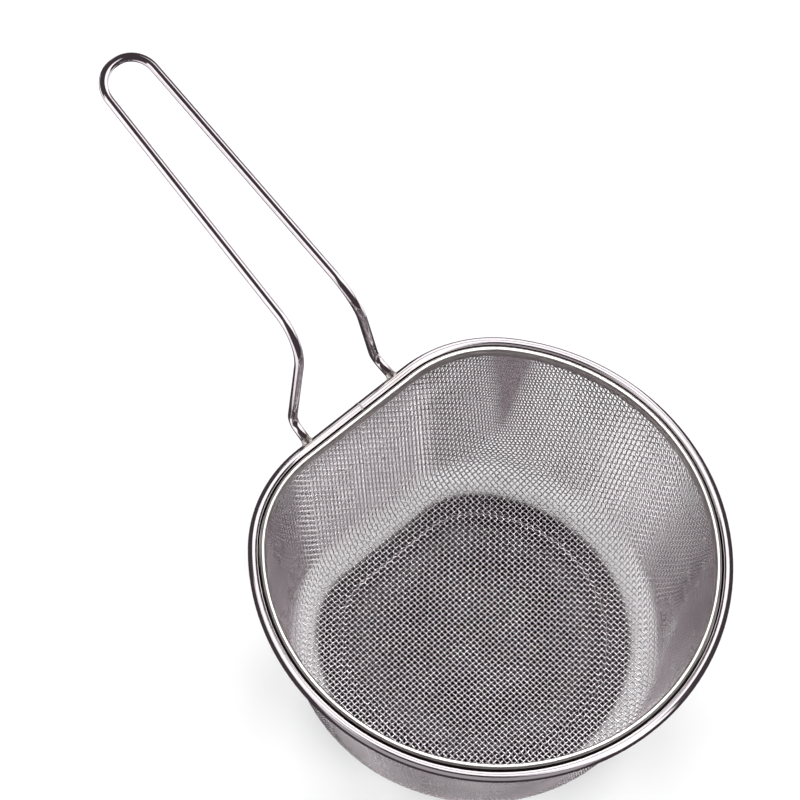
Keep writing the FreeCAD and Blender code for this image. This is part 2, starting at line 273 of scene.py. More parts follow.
def electropolished_wire(colours, welds):
    """Stainless wire, cold drawn and electropolished: mirror bright, with faint waviness, a fine
    orange-peel and straw and bronze heat tint that fades out over a few millimetres by a weld."""
    material, tree, shader, place = new_material("stainless_wire_electropolished")
    shader.inputs["Metallic"].default_value = 1.0
    nearest = None
    for weld in welds:
        gap = add_node(tree, "ShaderNodeVectorMath", {"operation": "DISTANCE", 1: weld},
                       {0: place}).outputs["Value"]
        nearest = gap if nearest is None else add_node(
            tree, "ShaderNodeMath", {"operation": "MINIMUM"}, {0: nearest, 1: gap}).outputs[0]
    ragged = add_node(tree, "ShaderNodeMath", {"operation": "MULTIPLY_ADD", 1: 2.5 * MM},
                      {0: grain(tree, place, 4 * MM), 2: nearest}).outputs[0]
    reach = add_node(tree, "ShaderNodeMapRange",
                     {"From Min": 2.5 * MM, "From Max": 8.0 * MM}, {"Value": ragged})
    tint = paint_ramp(tree, reach.outputs["Result"], [
        (0.0, tuple(colours.weld)), (0.18, tuple(colours.bronze)),
        (0.45, tuple(colours.straw)), (1.0, tuple(colours.polished))])
    # painted shade in the groove between hoop and band
    tree.links.new(darkened_groove(tree, colours, tint), shader.inputs["Base Color"])
    roughness = spread_from(tree, grain(tree, place, 6 * MM, 4.0), 0.07, 0.15)
    tree.links.new(roughness, shader.inputs["Roughness"])
    bump_from(tree, shader, grain(tree, place, 5 * MM), 0.006 * MM)
    return material


def drawn_cloth_wire(colours):
    """Stainless wire, bright drawn through a die and woven: bright, a little softer than polish,
    with tone that drifts over the cloth. Along the disc's crease and round the base the wires are
    softer, as the press's rubbing leaves them, and paler, which is a painted highlight."""
    material, tree, shader, place = new_material("stainless_cloth_wire_bright_drawn")
    shader.inputs["Metallic"].default_value = 1.0
    tone = paint_ramp(tree, grain(tree, place, 14 * MM, 3.0), [
        (0.3, tuple(0.9 * c for c in colours.drawn)), (0.7, tuple(colours.drawn))])
    rubbed = add_node(tree, "ShaderNodeAttribute", {"attribute_name": "rubbed"}).outputs["Fac"]
    # painted highlight: paler colour along the crease and the ring; the roughness below is the
    # press's rubbing
    tone = add_node(tree, "ShaderNodeMix", {"data_type": "RGBA", 7: (*colours.rubbed, 1.0)},
                    {0: rubbed, 6: tone}).outputs[2]
    tree.links.new(tone, shader.inputs["Base Color"])
    roughness = spread_from(tree, grain(tree, place, 12 * MM), 0.2, 0.3)
    softened = add_node(tree, "ShaderNodeMath", {"operation": "MULTIPLY_ADD", 1: 0.25},
                        {0: rubbed, 2: roughness}).outputs[0]
    tree.links.new(softened, shader.inputs["Roughness"])
    bump_from(tree, shader, grain(tree, place, 0.4 * MM), 0.0015 * MM)
    return material


def rolled_strip(colours):
    """Stainless strip, cold rolled bright: a soft sheen with faint lines along the rolling, and
    painted shade in the groove beside the hoop."""
    material, tree, shader, place = new_material("stainless_strip_cold_rolled")
    shader.inputs["Metallic"].default_value = 1.0
    tone = paint_ramp(tree, grain(tree, place, 9 * MM, 3.0), [
        (0.3, tuple(0.9 * c for c in colours.strip)), (0.7, tuple(colours.strip))])
    # painted shade in the groove beside the hoop
    tree.links.new(darkened_groove(tree, colours, tone), shader.inputs["Base Color"])
    lines = add_node(tree, "ShaderNodeMapping", {"Scale": (0.06, 0.06, 1.0)}, {"Vector": place})
    roughness = spread_from(tree, grain(tree, lines.outputs["Vector"], 0.3 * MM), 0.34, 0.46)
    tree.links.new(roughness, shader.inputs["Roughness"])
    bump_from(tree, shader, grain(tree, place, 5 * MM), 0.02 * MM)
    return material


def cleaned_weld(colours):
    """Stainless weld metal, brushed clean: dull silver, with fine ripples and a little brown left
    in them."""
    material, tree, shader, place = new_material("stainless_weld_brushed_clean")
    shader.inputs["Metallic"].default_value = 1.0
    tone = paint_ramp(tree, grain(tree, place, 1.2 * MM, 3.0), [
        (0.35, tuple(colours.bronze)), (0.55, tuple(colours.weld)), (0.8, tuple(colours.strip))])
    tree.links.new(tone, shader.inputs["Base Color"])
    roughness = spread_from(tree, grain(tree, place, 0.8 * MM, 3.0), 0.28, 0.5)
    tree.links.new(roughness, shader.inputs["Roughness"])
    bump_from(tree, shader, grain(tree, place, 0.5 * MM, 3.0), 0.06 * MM)
    return material


def white_board(colours):
    """Matt white board: faint mottling and no gloss."""
    material, tree, shader, place = new_material("white_board_matt")
    tone = paint_ramp(tree, grain(tree, place, 120 * MM), [
        (0.3, tuple(0.985 * c for c in colours.floor)), (0.7, tuple(colours.floor))])
    tree.links.new(tone, shader.inputs["Base Color"])
    shader.inputs["Roughness"].default_value = 0.95
    shader.inputs["Specular IOR Level"].default_value = 0.1
    return material


# ---------------------------------------------------------------- shapes

GROOVE_DEPTH = 1.2 * MM         # below the band's top, where the painted shade in the groove is at its darkest
RIPPLE_SPACING = 1.1 * MM       # of the uneven skin of a weld
CAP_EDGE = 1 / 12               # soft edge of a cut wire's end, as a share of its diameter


def place_piece(name, mesh, material, slot, *nodes):
    """Gives a finished mesh its object, finish and body, and stands it in for its CAD nodes."""
    for polygon in mesh.polygons:
        polygon.use_smooth = True
    mesh.materials.clear()
    mesh.materials.append(material)
    piece = bpy.data.objects.new(name, mesh)
    bpy.context.scene.collection.objects.link(piece)
    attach(piece, "root")
    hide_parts(*nodes)
    return piece


def finished_mesh(name, shape):
    """Merges the seams of a bmesh, turns its faces outwards and makes it a mesh."""
    bmesh.ops.remove_doubles(shape, verts=shape.verts, dist=SEAM)
    bmesh.ops.recalc_face_normals(shape, faces=shape.faces)
    mesh = bpy.data.meshes.new(name)
    shape.to_mesh(mesh)
    shape.free()
    return mesh


def only(kind, geometry):
    """The items of one kind in what a bmesh operator gives back."""
    return [item for item in geometry if isinstance(item, kind)]


def mark_groove(mesh, cloth, corner):
    """Marks how far each point has turned into the groove between hoop and band, where shade is
    painted: 0 on top and outside, 1 deep inside."""
    cup = Cup(cloth, corner)
    place = np.array([vert.co for vert in mesh.vertices])
    off = np.hypot(place[:, 0], place[:, 1]) - cup.outline(np.arctan2(place[:, 1], place[:, 0]))
    below = np.clip((BAND_HIGH.z - place[:, 2]) / GROOVE_DEPTH, 0, 1)
    facing = np.clip((cloth.edge_inset - off) / (HOOP_WIRE / 2), 0, 1) * np.clip(off / MM, 0, 1)
    mesh.attributes.new("groove", "FLOAT", "POINT").data.foreach_set("value", facing * below)


def carry(shape, section, moves, step):
    """Carries a section through straight runs and bends, with its skin behind it.

    A run is a vector. A bend is a centre, an axis and an angle.
    """
    for move in moves:
        if isinstance(move, Vector):
            grown = bmesh.ops.spin(shape, geom=section, cent=(0, 0, 0), axis=(0, 0, 1),
                                   dvec=move, angle=0.0, steps=1)
        else:
            centre, axis, turn = move
            steps = max(2, math.ceil(abs(turn) / step))
            grown = bmesh.ops.spin(shape, geom=section, cent=centre, axis=axis, angle=turn,
                                   steps=steps)
        section = only((bmesh.types.BMVert, bmesh.types.BMEdge), grown["geom_last"])
    return section


def rim_moves(inset, corner, level):
    """Route once round the rim, from the middle of the flat side, in at an inset."""
    big, side, small = RIM_RADIUS - inset, RIM_FLAT - inset, corner - inset
    centre_x = small - side
    centre_y = math.sqrt((big - small) ** 2 - centre_x ** 2)
    turn = math.atan2(centre_y, centre_x)
    up = Vector((0, 0, 1))
    near, far = Vector((centre_x, -centre_y, level)), Vector((centre_x, centre_y, level))
    return [
        Vector((0, -centre_y, 0)),
        (near, up, math.pi - turn),
        (Vector((0, 0, level)), up, 2 * turn),
        (far, up, math.pi - turn),
        Vector((0, -centre_y, 0)),
    ]


def handle_corners(sizes):
    """Corners of the handle's route from one weld round the loop to the other."""
    contact = RIM_FLAT + HOOP_WIRE / 2
    half = [
        (contact, sizes.stub_spread, 0.0),
        (sizes.heel_out, sizes.heel_spread, sizes.heel_rise),
        (sizes.shoulder_out, sizes.shoulder_spread, sizes.shoulder_rise),
        (sizes.tip_out, sizes.tip_spread, sizes.tip_rise),
    ]
    left = [Vector((-out, -spread, RIM_LEVEL + rise)) for out, spread, rise in half]
    return left + [Vector((p.x, -p.y, p.z)) for p in reversed(left)]


def bent_moves(corners, radii):
    """Runs and bends of a wire through corners, each inner one rounded to its radius."""
    moves = []
    here = corners[0]
    for before, corner, after, radius in zip(corners, corners[1:], corners[2:], radii):
        back, ahead = (before - corner).normalized(), (after - corner).normalized()
        turn = math.pi - back.angle(ahead)
        start = corner + back * radius * math.tan(turn / 2)
        axis = (-back).cross(ahead).normalized()
        centre = start + axis.cross(-back) * radius
        moves.append(start - here)
        moves.append((centre, axis, turn))
        here = corner + ahead * radius * math.tan(turn / 2)
    moves.append(corners[-1] - here)
    return moves


def wire_section(shape, place, direction, radius, sides):
    """A circle of edges across the start of a wire."""
    turned = Matrix.Translation(place) @ direction.to_track_quat("Z", "Y").to_matrix().to_4x4()
    made = bmesh.ops.create_circle(shape, segments=sides, radius=radius, matrix=turned)
    rim = made["verts"]
    return rim + list({edge for vert in rim for edge in vert.link_edges})


def add_bead(shape, profile, place, direction, sides, ripple, seed):
    """Adds a bead spun about a line from (along, radius) points, with an uneven skin."""
    bead = bmesh.new()
    verts = [bead.verts.new((radius, 0, along)) for along, radius in profile]
    edges = [bead.edges.new(pair) for pair in zip(verts, verts[1:])]
    bmesh.ops.spin(bead, geom=verts + edges, cent=(0, 0, 0), axis=(0, 0, 1), angle=FULL_TURN,
                   steps=sides, use_merge=True)
    bmesh.ops.remove_doubles(bead, verts=bead.verts, dist=SEAM)
    for vert in bead.verts:
        out = Vector((vert.co.x, vert.co.y, 0))
        if out.length > SEAM:
            wave = noise.noise(vert.co / RIPPLE_SPACING + Vector((seed, 0, 0)))
            vert.co += out.normalized() * ripple * wave
    turned = Matrix.Translation(place) @ direction.to_track_quat("Z", "Y").to_matrix().to_4x4()
    bmesh.ops.transform(bead, matrix=turned, verts=bead.verts)
    held = bpy.data.meshes.new("bead")
    bead.to_mesh(held)
    bead.free()
    shape.from_mesh(held)
    bpy.data.meshes.remove(held)


# ---------------------------------------------------------------- cloth

CORNER_POINTS = 12              # round the cup's bottom corner
SPARE_PITCHES = 10              # that the net runs on past the hem, before it is cut off
PRESS_STEPS = 20                # fine steps that the rounding of a crease reaches each way
WALK = 0.01 * MM                # step along a middle wire
NEWTON_ROUNDS = 40
LEAST_SHEAR = 0.02              # keeps the solve steady where two wires nearly line up
SETTLED = 1e-6 * MM
CLOSED = 0.02 * MM              # how far from one pitch a crossing may end up
FLAT_SHARE = 0.22               # of a pitch, that a wire lies flat on each side of a crossing
WAVE_SPACING = 16 * MM          # of the slow waves in the drawn cloth
WAVE_FADE = 8 * MM              # over which they die out towards the hem and the bottom
BUNDLE_POINTS = 14000           # keeps a bundle's mesh under 200,000 triangles
CREASE_WIDTH = 0.008            # of the line of press rubbing and painted highlight, as a share of the outline
RING_FADE = 0.02                # over which the ring of press rubbing and painted highlight starts, as a share of the outline
RING_RUB_AND_HIGHLIGHT = 0.5                  # press rubbing and painted highlight of the ring, where the crease has 1
RUB_AND_HIGHLIGHT_HEIGHT = 0.6                # up to which the wires are softened and painted paler, as a share of the base corner


class Cup:
    """Middle surface of the drawn cup, over a plan whose distance from the axis is the length
    along the cup's profile."""

    FINE = 0.1 * MM

    def __init__(self, cloth, corner):
        half = cloth.thickness / 2
        self.round = RIM_RADIUS - cloth.edge_inset
        self.flat = RIM_FLAT - cloth.edge_inset
        self.corner = corner - cloth.edge_inset
        foot = cloth.bottom_share * (self.round + half)
        disc = cloth.disc_share * RIM_RADIUS
        turned = np.linspace(0, math.pi / 2 - cloth.lean, CORNER_POINTS)
        reach = [0, disc - half, disc + cloth.disc_rise - half, foot]
        level = [half + cloth.disc_rise, half + cloth.disc_rise, half, half]
        reach += list(foot + (cloth.base_corner - half) * np.sin(turned[1:]))
        level += list(cloth.base_corner - (cloth.base_corner - half) * np.cos(turned[1:]))
        reach += [self.round, self.round, self.round]
        level += [cloth.hem, CUP_HIGH.z, CUP_HIGH.z + SPARE_PITCHES * cloth.pitch]
        run = np.r_[0, np.cumsum(np.hypot(np.diff(reach), np.diff(level)))]
        self.run = np.arange(0, run[-1], self.FINE)
        self.share = self.softened(np.interp(self.run, run, reach), cloth) / self.round
        self.level = self.softened(np.interp(self.run, run, level), cloth)
        self.unevenness = cloth.unevenness

    def softened(self, values, cloth):
        """Profile with its creases rounded as the press leaves them."""
        steps = np.arange(-PRESS_STEPS, PRESS_STEPS + 1)
        weight = np.exp(-0.5 * (steps * self.FINE / cloth.press_radius) ** 2)
        before = 2 * values[0] - values[PRESS_STEPS:0:-1]
        after = 2 * values[-1] - values[-2:-2 - PRESS_STEPS:-1]
        return np.convolve(np.r_[before, values, after], weight / weight.sum(), mode="valid")

    def outline(self, heading):
        """Distance from the axis to the D outline."""
        centre_x = self.corner - self.flat
        centre_y = math.sqrt((self.round - self.corner) ** 2 - centre_x ** 2)
        turned = np.abs((heading + math.pi) % FULL_TURN - math.pi)
        x, y = np.cos(turned), np.sin(turned)
        along = centre_x * x + centre_y * y
        off = self.corner ** 2 - centre_x ** 2 - centre_y ** 2 + along ** 2
        corner = along + np.sqrt(np.maximum(off, 0))
        flat = self.flat / np.maximum(-x, 1e-6)
        corner_from = math.atan2(centre_y, centre_x)
        flat_from = math.pi - math.atan2(centre_y, self.flat)
        return np.where(turned <= corner_from, self.round,
                        np.where(turned < flat_from, corner, flat))

    def points(self, plan):
        """Points of the surface over plan places, the last axis being x and y."""
        x, y = plan[..., 0], plan[..., 1]
        run, heading = np.hypot(x, y), np.arctan2(y, x)
        reach = self.outline(heading) * np.interp(run, self.run, self.share)
        level = np.interp(run, self.run, self.level)
        return np.stack([reach * np.cos(heading), reach * np.sin(heading), level], -1)

    def normals(self, plan):
        """Unit normals, up in the bottom and inwards on the wall."""
        step = 0.05 * MM
        across = self.points(plan + [step, 0]) - self.points(plan - [step, 0])
        along = self.points(plan + [0, step]) - self.points(plan - [0, step])
        normal = np.cross(across, along)
        return normal / np.linalg.norm(normal, axis=-1, keepdims=True)


def first_wire(cup, pitch, direction):
    """Plan places one pitch apart along the middle wire, out from the centre."""
    plan = np.arange(0, cup.run[-1] - 2 * pitch, WALK)[:, None] * np.array(direction, float)
    points = cup.points(plan)
    window = int(2.0 * pitch / WALK)
    place, taken = 0, [0]
    while place + window < len(plan):
        gaps = np.linalg.norm(points[place:place + window] - points[place], axis=1)
        place += int(np.argmax(gaps >= pitch))
        taken.append(place)
    return plan[taken]


def weave_quarter(cup, pitch, first_x, first_y, top):
    """Crossings of the cloth between two middle wires.

    The wires pivot on each other but don't stretch, so each crossing lies one pitch from the two
    before it. The crossings are found front by front, all of a front at once, by Newton's method.
    """
    places = np.full((len(first_x), len(first_y), 2), np.nan)
    places[:, 0], places[0, :] = first_x, first_y
    levels = np.full(places.shape[:2], np.nan)
    levels[:, 0], levels[0, :] = cup.points(first_x)[:, 2], cup.points(first_y)[:, 2]
    nudge = 1e-3 * MM
    for front in range(2, sum(levels.shape) - 1):
        i = np.arange(max(1, front - levels.shape[1] + 1), min(levels.shape[0] - 1, front - 1) + 1)
        j = front - i
        inside = (levels[i - 1, j] < top) | (levels[i, j - 1] < top)
        known = inside & np.isfinite(levels[i - 1, j]) & np.isfinite(levels[i, j - 1])
        i, j = i[known], j[known]
        if not len(i):
            break
        before_x, before_y = cup.points(places[i - 1, j]), cup.points(places[i, j - 1])
        plan = places[i - 1, j] + places[i, j - 1] - places[i - 1, j - 1]
        for _ in range(NEWTON_ROUNDS):
            here = cup.points(plan)
            off_x, off_y = here - before_x, here - before_y
            long_x, long_y = np.linalg.norm(off_x, axis=1), np.linalg.norm(off_y, axis=1)
            slope_u = (cup.points(plan + [nudge, 0]) - cup.points(plan - [nudge, 0])) / (2 * nudge)
            slope_v = (cup.points(plan + [0, nudge]) - cup.points(plan - [0, nudge])) / (2 * nudge)
            xu, xv = (off_x * slope_u).sum(1) / long_x, (off_x * slope_v).sum(1) / long_x
            yu, yv = (off_y * slope_u).sum(1) / long_y, (off_y * slope_v).sum(1) / long_y
            det = xu * yv - xv * yu
            det = np.where(np.abs(det) < LEAST_SHEAR, np.copysign(LEAST_SHEAR, det), det)
            miss_x, miss_y = long_x - pitch, long_y - pitch
            step = np.stack([miss_y * xv - miss_x * yv, miss_x * yu - miss_y * xu], -1)
            step /= det[:, None]
            size = np.linalg.norm(step, axis=1, keepdims=True)
            plan = plan + step * np.minimum(1, pitch / 3 / np.maximum(size, 1e-12))
            if size.max() < SETTLED:
                break
        if max(np.abs(miss_x).max(), np.abs(miss_y).max()) > CLOSED:
            raise RuntimeError("the cloth doesn't close at front %d" % front)
        places[i, j] = plan
        levels[i, j] = cup.points(plan)[:, 2]
    return places


def weave_cup(cup, pitch, top):
    """Crossings of the whole cup as a grid, X wires by column and Y wires by row."""
    ahead = first_wire(cup, pitch, (1, 0))
    behind = first_wire(cup, pitch, (-1, 0))
    aside = first_wire(cup, pitch, (0, 1))
    front = weave_quarter(cup, pitch, ahead, aside, top)
    back = weave_quarter(cup, pitch, behind, aside, top)
    half = np.concatenate([back[:0:-1], front])
    mirrored = half[:, :0:-1] * [1, -1]
    return np.concatenate([mirrored, half], axis=1)


def wire_routes(points, normals, over, lift, top):
    """Route of each wire of one family: flat over and under each crossing, sloped between them,
    and cut off at the top of the hem."""
    routes = []
    for line, normal, up in zip(points, normals, over):
        good = np.flatnonzero(np.isfinite(line[:, 2]))
        if len(good) < 3:
            continue
        line, normal, up = line[good], normal[good], up[good]
        inner = np.flatnonzero(line[:, 2] < top)
        if len(inner) < 3:
            continue
        lo, hi = max(inner[0] - 1, 0), min(inner[-1] + 2, len(line))
        line, normal, up = line[lo:hi], normal[lo:hi], up[lo:hi]
        crossing = line + normal * (lift * up)[:, None]
        step = np.diff(line, axis=0)
        before = np.concatenate([crossing[:1], crossing[1:] - FLAT_SHARE * step])
        after = np.concatenate([crossing[:-1] + FLAT_SHARE * step, crossing[-1:]])
        route = np.stack([before, after], 1).reshape(-1, 3)[1:-1]
        for end in (0, -1):
            route = trimmed(route if end else route[::-1], top)
            route = route if end else route[::-1]
        routes.append(route)
    return routes


def trimmed(route, top):
    """Route whose last points above the top are cut back to it."""
    last = np.flatnonzero(route[:, 2] < top)[-1]
    if last + 1 == len(route):
        return route
    low, high = route[last], route[last + 1]
    cut = low + (high - low) * (top - low[2]) / (high[2] - low[2])
    return np.concatenate([route[:last + 1], cut[None]])


def mark_rub_and_highlight(mesh, cup, cloth):
    """Marks the press rubbing and painted highlight at each point: most on the disc's crease, some
    from there out to the base's corner."""
    place = np.empty(3 * len(mesh.vertices))
    mesh.vertices.foreach_get("co", place)
    x, y, z = place.reshape(-1, 3).T
    out = np.hypot(x, y) / cup.outline(np.arctan2(y, x))
    crease = cloth.disc_share * RIM_RADIUS / cup.round
    low = np.clip(2 - z / (RUB_AND_HIGHLIGHT_HEIGHT * cloth.base_corner), 0, 1)
    line = np.exp(-((out - crease) / CREASE_WIDTH) ** 2)
    ring = np.clip((out - crease) / RING_FADE, 0, 1) * RING_RUB_AND_HIGHLIGHT
    rubbed = np.maximum(line, ring) * low
    mesh.attributes.new("rubbed", "FLOAT", "POINT").data.foreach_set("value", rubbed)


def wires_mesh(name, routes, thickness):
    """Round wires along routes."""
    curve = bpy.data.curves.new(name + "_routes", "CURVE")
    curve.dimensions = "3D"
    curve.bevel_depth = thickness / 2
    curve.bevel_resolution = 1
    curve.use_fill_caps = True
    for route in routes:
        spline = curve.splines.new("POLY")
        spline.points.add(len(route) - 1)
        spline.points.foreach_set("co", np.c_[route, np.ones(len(route))].ravel())
    holder = bpy.data.objects.new(name + "_routes", curve)
    bpy.context.scene.collection.objects.link(holder)
    depsgraph = bpy.context.evaluated_depsgraph_get()
    mesh = bpy.data.meshes.new_from_object(holder.evaluated_get(depsgraph))
    bpy.data.objects.remove(holder)
    bpy.data.curves.remove(curve)
    mesh.name = name
    return mesh


def in_bundles(routes, most):
    """Splits wires into bundles of neighbours, each with at most so many route points."""
    total = sum(len(route) for route in routes)
    count = math.ceil(total / most)
    bundles, held = [[]], 0
    for route in routes:
        if held >= total * len(bundles) / count:
            bundles.append([])
        bundles[-1].append(route)
        held += len(route)
    return bundles


# ---------------------------------------------------------------- operators

def polished_finish(scene):
    """The finish that hoop and handle share, tinted where the handle's two ends are welded."""
    corners = handle_corners(scene.strainer_handle)
    found = bpy.data.materials.get("stainless_wire_electropolished")
    return found or electropolished_wire(scene.strainer_finish, (corners[0], corners[-1]))


class STRAINER_OT_weave_cloth(bpy.types.Operator):
    """Weave the cup from two families of wires that cross over and under each other"""

    bl_idname = "strainer.weave_cloth"
    bl_label = "Weave Cloth"

    def execute(self, context):
        scene = context.scene
        cloth = scene.strainer_cloth
        material = drawn_cloth_wire(scene.strainer_finish)
        cup = Cup(cloth, scene.strainer_rim.corner)
        top = CUP_HIGH.z
        plan = weave_cup(cup, cloth.pitch, top)
        points, normals = cup.points(plan), cup.normals(plan)
        wave = np.array([[noise.noise(Vector(p) / WAVE_SPACING) if np.isfinite(p[2]) else 0.0
                          for p in row] for row in points])
        calm = np.clip((top - points[..., 2]) / WAVE_FADE, 0, 1)
        calm = calm * np.clip(points[..., 2] / WAVE_FADE, 0, 1)
        points = points + normals * (cloth.unevenness * wave * calm)[..., None]
        rows, columns = np.indices(points.shape[:2])
        over = np.where((rows + columns) % 2, 1.0, -1.0)
        lift = cloth.wire / 2
        flipped = (1, 0, 2)
        families = {
            "cloth_wires_y": (points, normals, over),
            "cloth_wires_x": (points.transpose(flipped), normals.transpose(flipped), -over.T),
        }
        for name, (line, normal, up) in families.items():
            routes = wire_routes(line, normal, up, lift, top)
            for number, bundle in enumerate(in_bundles(routes, BUNDLE_POINTS), start=1):
                mesh = wires_mesh("%s_%d" % (name, number), bundle, cloth.wire)
                mark_rub_and_highlight(mesh, cup, cloth)
                place_piece(mesh.name, mesh, material, "woven_wire", "mesh_basket")
        return {"FINISHED"}


class STRAINER_OT_fold_band(bpy.types.Operator):
    """Fold a strip over the cloth's edge, all round the rim"""

    bl_idname = "strainer.fold_band"
    bl_label = "Fold Band"

    def execute(self, context):
        rim, cloth = context.scene.strainer_rim, context.scene.strainer_cloth
        shape = bmesh.new()
        half = BAND_HIGH.x - RIM_RADIUS + cloth.edge_inset
        inner = half - rim.sheet
        spring = BAND_HIGH.z - half
        middle = -(RIM_FLAT - cloth.edge_inset)
        arc = np.linspace(0, math.pi, 13)
        outside = [(middle + half, BAND_LOW.z)] + [
            (middle + half * math.cos(a), spring + half * math.sin(a)) for a in arc] + [
            (middle - half, BAND_LOW.z)]
        inside = [(middle - inner, BAND_LOW.z)] + [
            (middle - inner * math.cos(a), spring + inner * math.sin(a)) for a in arc] + [
            (middle + inner, BAND_LOW.z)]
        verts = [shape.verts.new((x, 0, z)) for x, z in outside + inside]
        edges = [shape.edges.new(pair) for pair in zip(verts, verts[1:] + verts[:1])]
        carry(shape, verts + edges, rim_moves(cloth.edge_inset, rim.corner, RIM_LEVEL),
              rim.arc_step)
        mesh = finished_mesh("rim_band_folded", shape)
        mark_groove(mesh, cloth, rim.corner)
        place_piece(mesh.name, mesh, rolled_strip(context.scene.strainer_finish), "rim_strip",
                    "rim_band")
        return {"FINISHED"}


class STRAINER_OT_bend_hoop(bpy.types.Operator):
    """Bend the hoop's wire to a D and close it at its joint"""

    bl_idname = "strainer.bend_hoop"
    bl_label = "Bend Hoop"

    def execute(self, context):
        scene = context.scene
        rim = scene.strainer_rim
        shape = bmesh.new()
        start = Vector((-RIM_FLAT, 0, RIM_LEVEL))
        section = wire_section(shape, start, Vector((0, 1, 0)), HOOP_WIRE / 2, rim.wire_sides)
        carry(shape, section, rim_moves(0, rim.corner, RIM_LEVEL), rim.arc_step)
        mesh = finished_mesh("rim_hoop_wire", shape)
        mark_groove(mesh, scene.strainer_cloth, rim.corner)
        place_piece(mesh.name, mesh, polished_finish(scene), "polished_wire", "rim_hoop")
        return {"FINISHED"}


class STRAINER_OT_bend_handle(bpy.types.Operator):
    """Bend the handle from one wire"""

    bl_idname = "strainer.bend_handle"
    bl_label = "Bend Handle"

    def execute(self, context):
        scene = context.scene
        sizes = scene.strainer_handle
        corners = handle_corners(sizes)
        radii = [sizes.heel_bend, sizes.shoulder_bend, sizes.tip_bend]
        shape = bmesh.new()
        section = wire_section(shape, corners[0], corners[1] - corners[0], sizes.wire / 2,
                               scene.strainer_rim.wire_sides)
        cap = bmesh.ops.contextual_create(shape, geom=only(bmesh.types.BMEdge, section))
        bmesh.ops.inset_region(shape, faces=cap["faces"], thickness=sizes.wire * CAP_EDGE,
                               use_even_offset=True)
        last = carry(shape, section, bent_moves(corners, radii + radii[::-1]),
                     scene.strainer_rim.arc_step * 2)
        cap = bmesh.ops.contextual_create(shape, geom=only(bmesh.types.BMEdge, last))
        bmesh.ops.inset_region(shape, faces=cap["faces"], thickness=sizes.wire * CAP_EDGE,
                               use_even_offset=True)
        mesh = finished_mesh("handle_wire_bent", shape)
        place_piece(mesh.name, mesh, polished_finish(scene), "polished_wire", "handle_wire")
        return {"FINISHED"}


# Section of the handle's fillets: millimetres along the wire from the hoop's outside, and the
# radius as a share of the wire's.
FILLET_PROFILE = ((-1.2, 0), (-1.2, 1.12), (-0.5, 1.28), (0.1, 1.24), (0.5, 1.14), (0.9, 1.06),
                  (1.3, 1.01), (1.5, 0.96), (1.6, 0.85), (1.6, 0))
JOINT_FLUSH = 0.98              # edge of the joint's bead, as a share of the hoop wire's radius


class STRAINER_OT_lay_welds(bpy.types.Operator):
    """Lay the fillets at the handle's ends, the bead in the hoop's joint and the tacks below"""

    bl_idname = "strainer.lay_welds"
    bl_label = "Lay Welds"

    def execute(self, context):
        scene = context.scene
        material = cleaned_weld(scene.strainer_finish)
        sizes = scene.strainer_handle
        corners = handle_corners(sizes)
        fillet = [(along * MM, out * sizes.wire / 2) for along, out in FILLET_PROFILE]
        ends = {"handle_weld_left": (corners[0], corners[1]),
                "handle_weld_right": (corners[-1], corners[-2])}
        for seed, (node, (place, after)) in enumerate(ends.items(), start=1):
            shape = bmesh.new()
            add_bead(shape, fillet, place, after - place, sides=40, ripple=0.07 * MM, seed=seed)
            mesh = finished_mesh(node + "_fillet", shape)
            place_piece(mesh.name, mesh, material, "weld_metal", node)

        width = (JOINT_HIGH.y - JOINT_LOW.y) / 2
        proud = (JOINT_HIGH.z - JOINT_LOW.z) / 2
        flush = HOOP_WIRE / 2 * JOINT_FLUSH
        ridge = [(-width, 0), (-width, flush), (-0.5 * width, proud), (0.5 * width, proud),
                 (width, flush), (width, 0)]
        joint = Vector((-RIM_FLAT, (JOINT_HIGH.y + JOINT_LOW.y) / 2, RIM_LEVEL))
        shape = bmesh.new()
        add_bead(shape, ridge, joint, Vector((0, 1, 0)), sides=48, ripple=0.03 * MM, seed=7)
        mesh = finished_mesh("hoop_butt_weld_bead", shape)
        place_piece(mesh.name, mesh, material, "weld_metal", "hoop_butt_weld")

        shape = bmesh.new()
        half, thick = TACK_LENGTH / 2, TACK_RADIUS
        tack = [(half * math.sin(a), thick * math.cos(a)) for a in
                np.linspace(-math.pi / 2, math.pi / 2, 13)]
        drop = HOOP_WIRE / 2 * TACK_DROP
        for seed, degrees in enumerate(TACK_ANGLES, start=10):
            turn = math.radians(degrees)
            out = Vector((math.cos(turn), math.sin(turn), 0))
            along = Vector((-math.sin(turn), math.cos(turn), 0))
            place = out * (RIM_RADIUS - HOOP_WIRE / 2) + Vector((0, 0, RIM_LEVEL - drop))
            add_bead(shape, tack, place, along, sides=20, ripple=0.15 * MM, seed=seed)
        mesh = finished_mesh("band_tack_weld_beads", shape)
        place_piece(mesh.name, mesh, material, "weld_metal", "band_tack_welds")
        return {"FINISHED"}


# ---------------------------------------------------------------- stage

CAMERA_AIM = Vector((-0.06796, 0.02666, 0.03205))
FILM_WIDTH = 36.0               # millimetres, which the lens goes with
BOARD_SIZE = 4.0                # from the middle of the floor to its edge
PANEL_AWAY = 1.3

# Pieces that a group of panels lights, by the start of their names.
LIT_GROUPS = {
    "cloth": ("cloth_",),
    "band": ("rim_band",),
    "handle": ("handle_",),
    "hoop": ("rim_hoop", "hoop_", "band_tack"),
}
